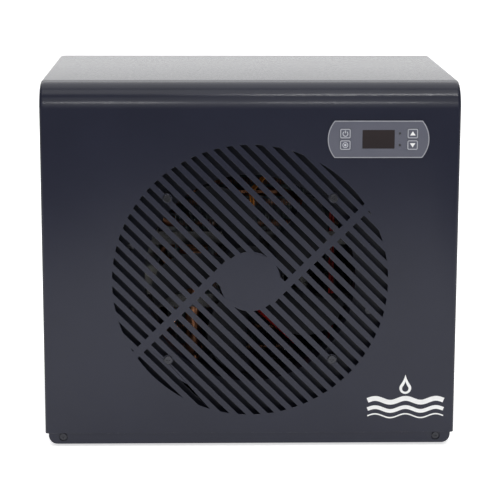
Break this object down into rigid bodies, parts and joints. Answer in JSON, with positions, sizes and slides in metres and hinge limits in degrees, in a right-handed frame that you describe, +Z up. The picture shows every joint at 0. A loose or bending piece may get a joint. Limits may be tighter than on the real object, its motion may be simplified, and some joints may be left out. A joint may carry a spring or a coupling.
{
  "type": "pool heat pump",
  "caption": "Compact free-standing pool heat pump: dark folded-sheet cabinet, round diagonal-slot fan grille, touch controller, rear coil guard and hose spigots.",
  "frame": {"origin": "middle of the underside, centred on the overall width and on the length from the grille screws' heads to the spigots' ends; the feet stand on z = 0", "axes": "+Z up, the grille faces -Y, the hose spigots point along +Y, +X is to the right seen from the front"},
  "size_m": [0.43, 0.3438, 0.384],
  "materials": {
    "dark_powder_coat": "fine-textured semi-matt powder coat",
    "shroud_coat": "semi-matt powder coat",
    "guard_coat": "satin coated wire",
    "rubber": "matt",
    "moulded_black": "fine moulded grain",
    "fan_plastic": "glass-filled moulding",
    "zinc_plated": "zinc plated",
    "black_screws": "black zinc",
    "galvanised": "galvanised sheet",
    "motor_paint": "gloss black paint",
    "steel_shaft": "ground",
    "red_lead": "insulation",
    "orange_lead": "insulation",
    "copper": "drawn copper",
    "brass": "turned",
    "aluminium_fin": "coated foil",
    "white_pvc": "moulded",
    "grey_pvc": "moulded",
    "titanium": "drawn",
    "switch_plastic": "moulded",
    "board_green": "solder mask",
    "panel_grey": "satin film",
    "display_smoke": "smoked window",
    "key_grey": "satin film"
  },
  "bodies": {
    "cabinet": {"front_top_cover": "dark_powder_coat", "base_pan": "dark_powder_coat", "left_side_panel": "dark_powder_coat", "right_side_panel": "dark_powder_coat", "rear_panel": "dark_powder_coat", "rear_coil_guard": "guard_coat", "rubber_feet": "rubber", "left_handle_cup": "moulded_black", "right_handle_cup": "moulded_black", "terminal_cover": "dark_powder_coat", "cover_clips": "zinc_plated", "case_screws": "black_screws", "fan_shroud": "shroud_coat", "shroud_standoffs": "black_screws", "shroud_screws": "black_screws", "fan_motor_bracket": "motor_paint", "fan_motor": "motor_paint", "fan_motor_screws": "black_screws", "fan_motor_lead_red": "red_lead", "fan_motor_lead_orange": "orange_lead", "compressor_shell": "motor_paint", "compressor_accumulator": "motor_paint", "compressor_mount_plate": "motor_paint", "compressor_grommets": "rubber", "compressor_studs": "zinc_plated", "compressor_terminal_cap": "moulded_black", "discharge_pipe": "copper", "suction_pipe": "copper", "liquid_pipe": "copper", "filter_drier": "copper", "capillary_coil": "copper", "high_pressure_switch": "brass", "evaporator_fins": "aluminium_fin", "evaporator_tubes": "copper", "evaporator_end_plates": "galvanised", "exchanger_shell": "white_pvc", "exchanger_end_caps": "grey_pvc", "exchanger_titanium_coil": "titanium", "exchanger_bracket": "galvanised", "water_inlet_pipe": "grey_pvc", "water_outlet_pipe": "grey_pvc", "pipe_seals": "rubber", "pipe_lock_nuts": "grey_pvc", "flow_switch_body": "switch_plastic", "flow_switch_pin": "steel_shaft", "electrical_box": "galvanised", "electrical_box_lid": "galvanised", "control_board": "board_green", "cable_gland": "moulded_black", "controller_bezel": "panel_grey", "display_window": "display_smoke", "controller_housing": "moulded_black"},
    "fan": {"fan_impeller": "fan_plastic", "fan_shaft": "steel_shaft", "fan_hub_nut": "zinc_plated"},
    "paddle": {"flow_switch_paddle": "switch_plastic"},
    "key_power": {"key_power": "key_grey"},
    "key_mode": {"key_mode": "key_grey"},
    "key_up": {"key_up": "key_grey"},
    "key_down": {"key_down": "key_grey"}
  },
  "joints": [
    {"name": "fan_spin", "type": "hinge", "parent": "cabinet", "child": "fan", "pos_m": [0, -0.1331, 0.178], "axis": [0, 1, 0], "continuous": true},
    {"name": "paddle_swing", "type": "hinge", "parent": "cabinet", "child": "paddle", "pos_m": [-0.15, 0.0539, 0.247], "axis": [1, 0, 0], "range_deg": [0, 20], "stiffness_Nm_per_rad": 0.002},
    {"name": "key_power_press", "type": "slide", "parent": "cabinet", "child": "key_power", "axis": [0, 1, 0], "range_m": [0, 0.0004], "stiffness_N_per_m": 400},
    {"name": "key_mode_press", "type": "slide", "parent": "cabinet", "child": "key_mode", "axis": [0, 1, 0], "range_m": [0, 0.0004], "stiffness_N_per_m": 400},
    {"name": "key_up_press", "type": "slide", "parent": "cabinet", "child": "key_up", "axis": [0, 1, 0], "range_m": [0, 0.0004], "stiffness_N_per_m": 400},
    {"name": "key_down_press", "type": "slide", "parent": "cabinet", "child": "key_down", "axis": [0, 1, 0], "range_m": [0, 0.0004], "stiffness_N_per_m": 400}
  ]
}
